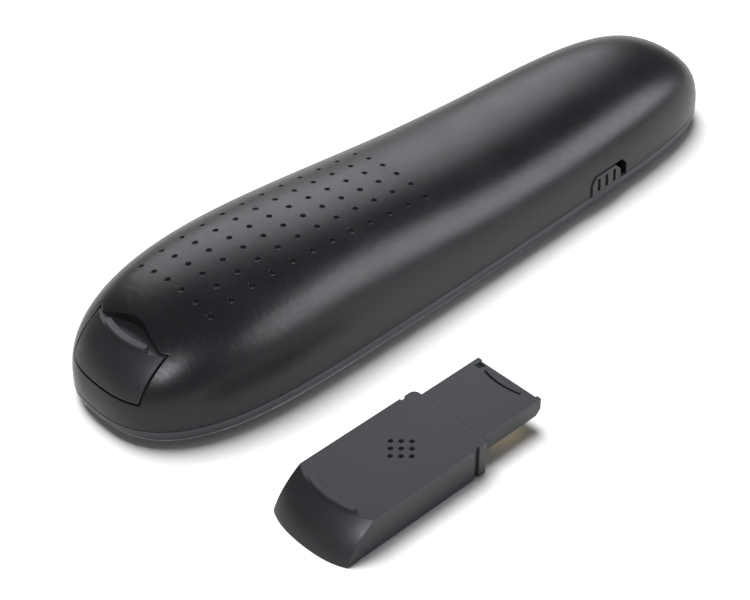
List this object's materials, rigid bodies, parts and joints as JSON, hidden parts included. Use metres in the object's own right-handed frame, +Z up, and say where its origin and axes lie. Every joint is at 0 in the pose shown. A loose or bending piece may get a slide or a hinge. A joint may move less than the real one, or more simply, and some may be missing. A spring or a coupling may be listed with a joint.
{
  "type": "wireless presentation clicker",
  "caption": "Hand-held wireless presentation clicker with dimpled back, stick receivers, power slider, keys and battery door.",
  "frame": {"origin": "on the flat control face that the clicker lies on, on its centreline, 26 mm ahead of the tail's end", "axes": "+X from the tail to the nose, +Y to the side away from the power slider, +Z up through the dimpled back"},
  "size_m": [0.1238, 0.0598, 0.0183],
  "materials": {
    "shell_plastic": "satin soft-touch moulding",
    "face_plastic": "satin moulding",
    "receiver_plastic": "fine matt moulding",
    "slider_plastic": "matt moulding",
    "inner_plastic": "plain moulding",
    "button_rubber": "fine matt rubber",
    "cell_wrap": "printed sleeve without lettering",
    "spring_metal": "nickel plated",
    "screw_steel": "zinc plated",
    "board_green": "solder resist",
    "chip_black": "moulded epoxy",
    "ceramic": "glazed ceramic",
    "clear": "clear polycarbonate",
    "dark_lens": "dark red tint",
    "brass": "turned",
    "gold": "gold plated"
  },
  "bodies": {
    "casing": {"grip_shell": "shell_plastic", "control_shell": "face_plastic", "battery_tray": "inner_plastic", "cell_left": "cell_wrap", "cell_right": "cell_wrap", "cell_plates": "spring_metal", "cell_springs": "spring_metal", "dock_sleeve": "inner_plastic", "dock_clips": "spring_metal", "case_screws": "screw_steel", "main_board": "board_green", "board_screws": "screw_steel", "tact_switches": "inner_plastic", "power_switch": "screw_steel", "radio_chip": "chip_black", "memory_chip": "chip_black", "crystal": "screw_steel", "antenna": "ceramic", "board_parts": "ceramic", "status_led": "ceramic", "light_pipe": "clear", "laser_barrel": "brass", "laser_diode": "brass", "laser_lens": "clear", "laser_leads": "spring_metal", "laser_holder": "inner_plastic", "laser_window": "dark_lens"},
    "door": {"battery_door": "face_plastic"},
    "docked_receiver": {"docked_shell": "receiver_plastic", "docked_base": "receiver_plastic", "docked_plug": "receiver_plastic", "docked_contacts": "gold", "docked_board": "board_green", "docked_chip": "chip_black"},
    "loose_receiver": {"loose_shell": "receiver_plastic", "loose_base": "receiver_plastic", "loose_plug": "receiver_plastic", "loose_contacts": "gold", "loose_board": "board_green", "loose_chip": "chip_black"},
    "power_slider": {"power_knob": "slider_plastic", "power_lever": "inner_plastic"},
    "next_key": {"next_button": "button_rubber", "next_plunger": "inner_plastic"},
    "back_key": {"back_button": "button_rubber", "back_plunger": "inner_plastic"},
    "laser_key": {"laser_button": "button_rubber", "laser_plunger": "inner_plastic"},
    "blank_key": {"blank_button": "button_rubber", "blank_plunger": "inner_plastic"}
  },
  "joints": [
    {"name": "door_hinge", "type": "hinge", "parent": "casing", "child": "door", "pos_m": [0.01705, 0, 0.00075], "axis": [0, 1, 0], "range_deg": [0, 75]},
    {"name": "receiver_slide", "type": "slide", "parent": "casing", "child": "docked_receiver", "axis": [-1, 0, 0], "range_m": [0, 0.045]},
    {"name": "receiver_lift", "type": "slide", "parent": "casing", "child": "loose_receiver", "axis": [0, 0, 1], "range_m": [0, 0.06]},
    {"name": "power_slide", "type": "slide", "parent": "casing", "child": "power_slider", "axis": [1, 0, 0], "range_m": [0, 0.00175]},
    {"name": "next_press", "type": "slide", "parent": "casing", "child": "next_key", "axis": [0, 0, 1], "range_m": [0, 0.0004], "stiffness_N_per_m": 1500},
    {"name": "back_press", "type": "slide", "parent": "casing", "child": "back_key", "axis": [0, 0, 1], "range_m": [0, 0.0004], "stiffness_N_per_m": 1500},
    {"name": "laser_press", "type": "slide", "parent": "casing", "child": "laser_key", "axis": [0, 0, 1], "range_m": [0, 0.0004], "stiffness_N_per_m": 1500},
    {"name": "blank_press", "type": "slide", "parent": "casing", "child": "blank_key", "axis": [0, 0, 1], "range_m": [0, 0.0004], "stiffness_N_per_m": 1500}
  ]
}
